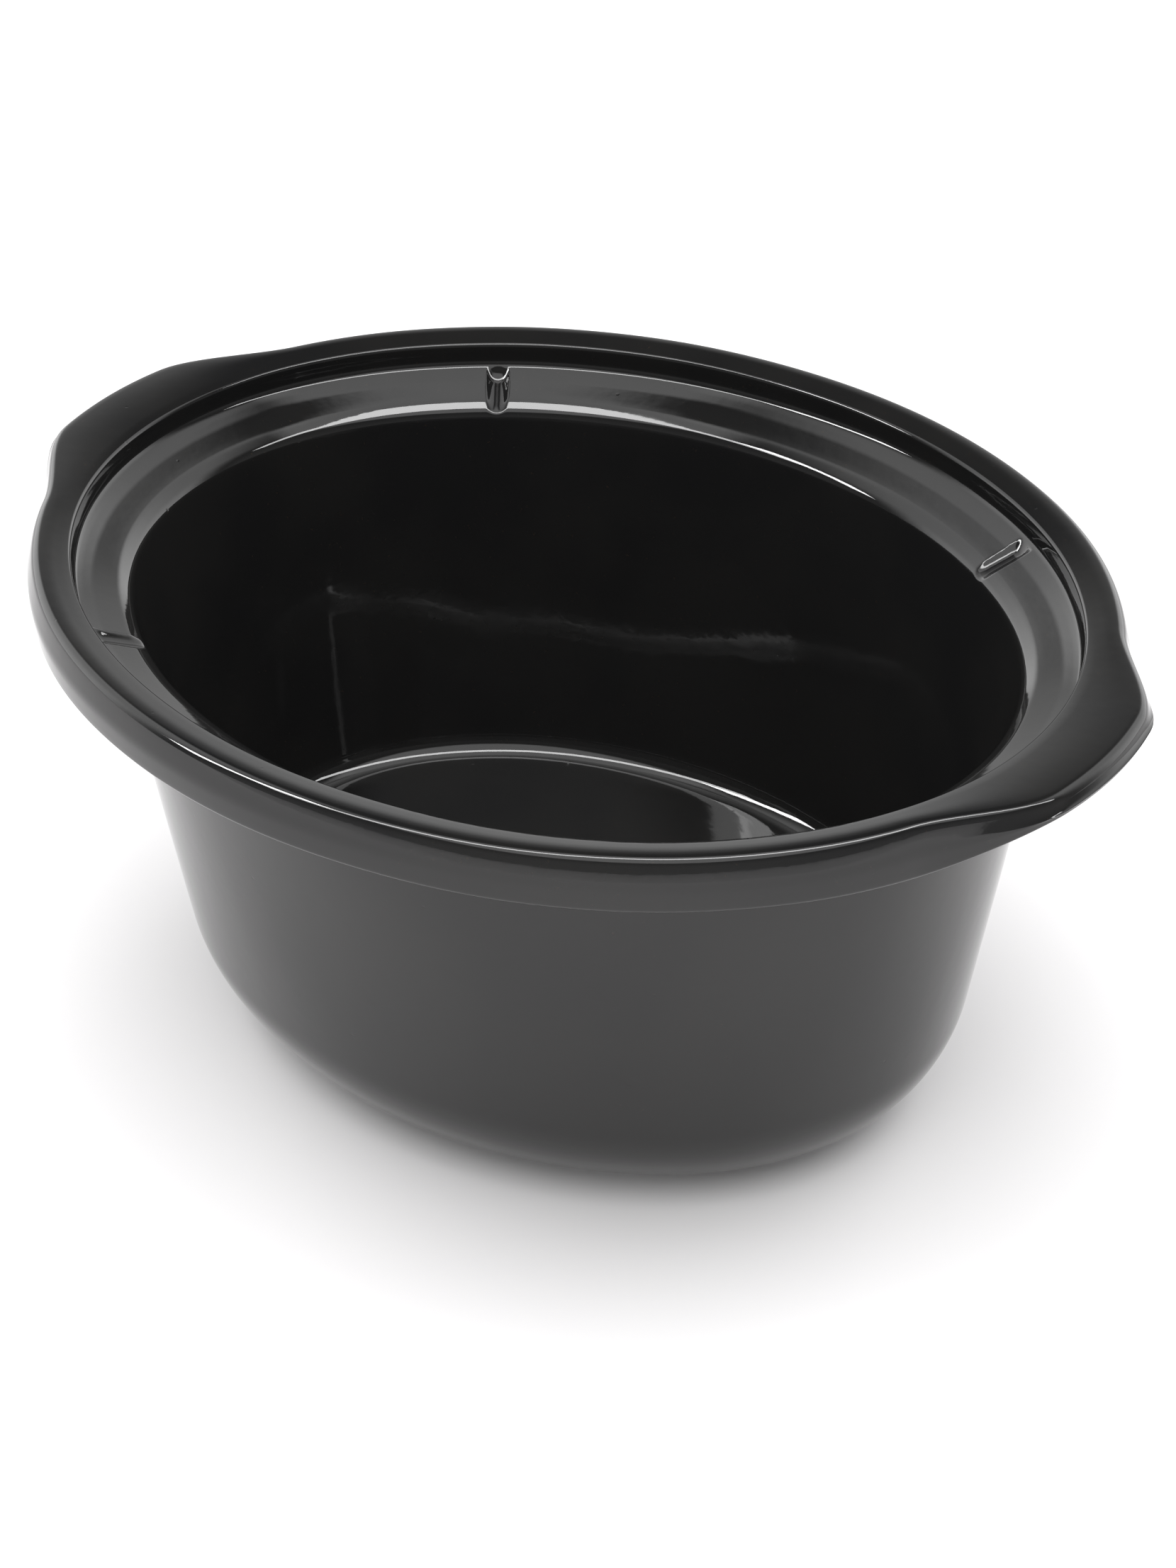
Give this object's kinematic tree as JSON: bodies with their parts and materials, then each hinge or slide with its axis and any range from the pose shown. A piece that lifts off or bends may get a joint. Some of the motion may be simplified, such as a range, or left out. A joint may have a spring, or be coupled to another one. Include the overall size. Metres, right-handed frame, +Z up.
{
  "type": "slow cooker crock",
  "caption": "Oval glazed stoneware crock with a rolled rim, a sloping lid ledge with steam grooves and lifting ears at its ends.",
  "frame": {"origin": "under the centre of the oval, in the plane of the foot ring it stands on", "axes": "+X along the oval towards one lifting ear, +Y across it, +Z up out of the mouth"},
  "size_m": [0.3598, 0.2804, 0.1602],
  "materials": {
    "glazed_stoneware": "high-gloss black glaze, bare on the foot ring"
  },
  "bodies": {
    "root": {"stoneware_crock": "glazed_stoneware"}
  },
  "joints": []
}
